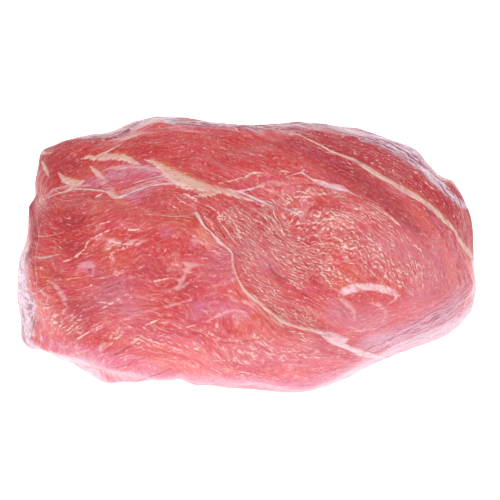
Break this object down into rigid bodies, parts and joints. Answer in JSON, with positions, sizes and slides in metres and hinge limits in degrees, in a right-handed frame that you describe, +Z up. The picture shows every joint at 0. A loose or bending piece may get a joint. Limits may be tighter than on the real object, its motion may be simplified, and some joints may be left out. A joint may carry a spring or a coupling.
{
  "type": "raw veal roast",
  "caption": "Boneless raw roast in one piece, several muscles joined along seams of fat, with a blunt left end and a flattened underside.",
  "frame": {"origin": "middle of the bounding box seen from above, at the height of the flat underside", "axes": "+X along the length towards the tapering end, +Y away from the front muscle, +Z up from the underside"},
  "size_m": [0.211, 0.1318, 0.095],
  "materials": {
    "veal": "moist"
  },
  "bodies": {
    "root": {"roast": "veal"}
  },
  "joints": []
}
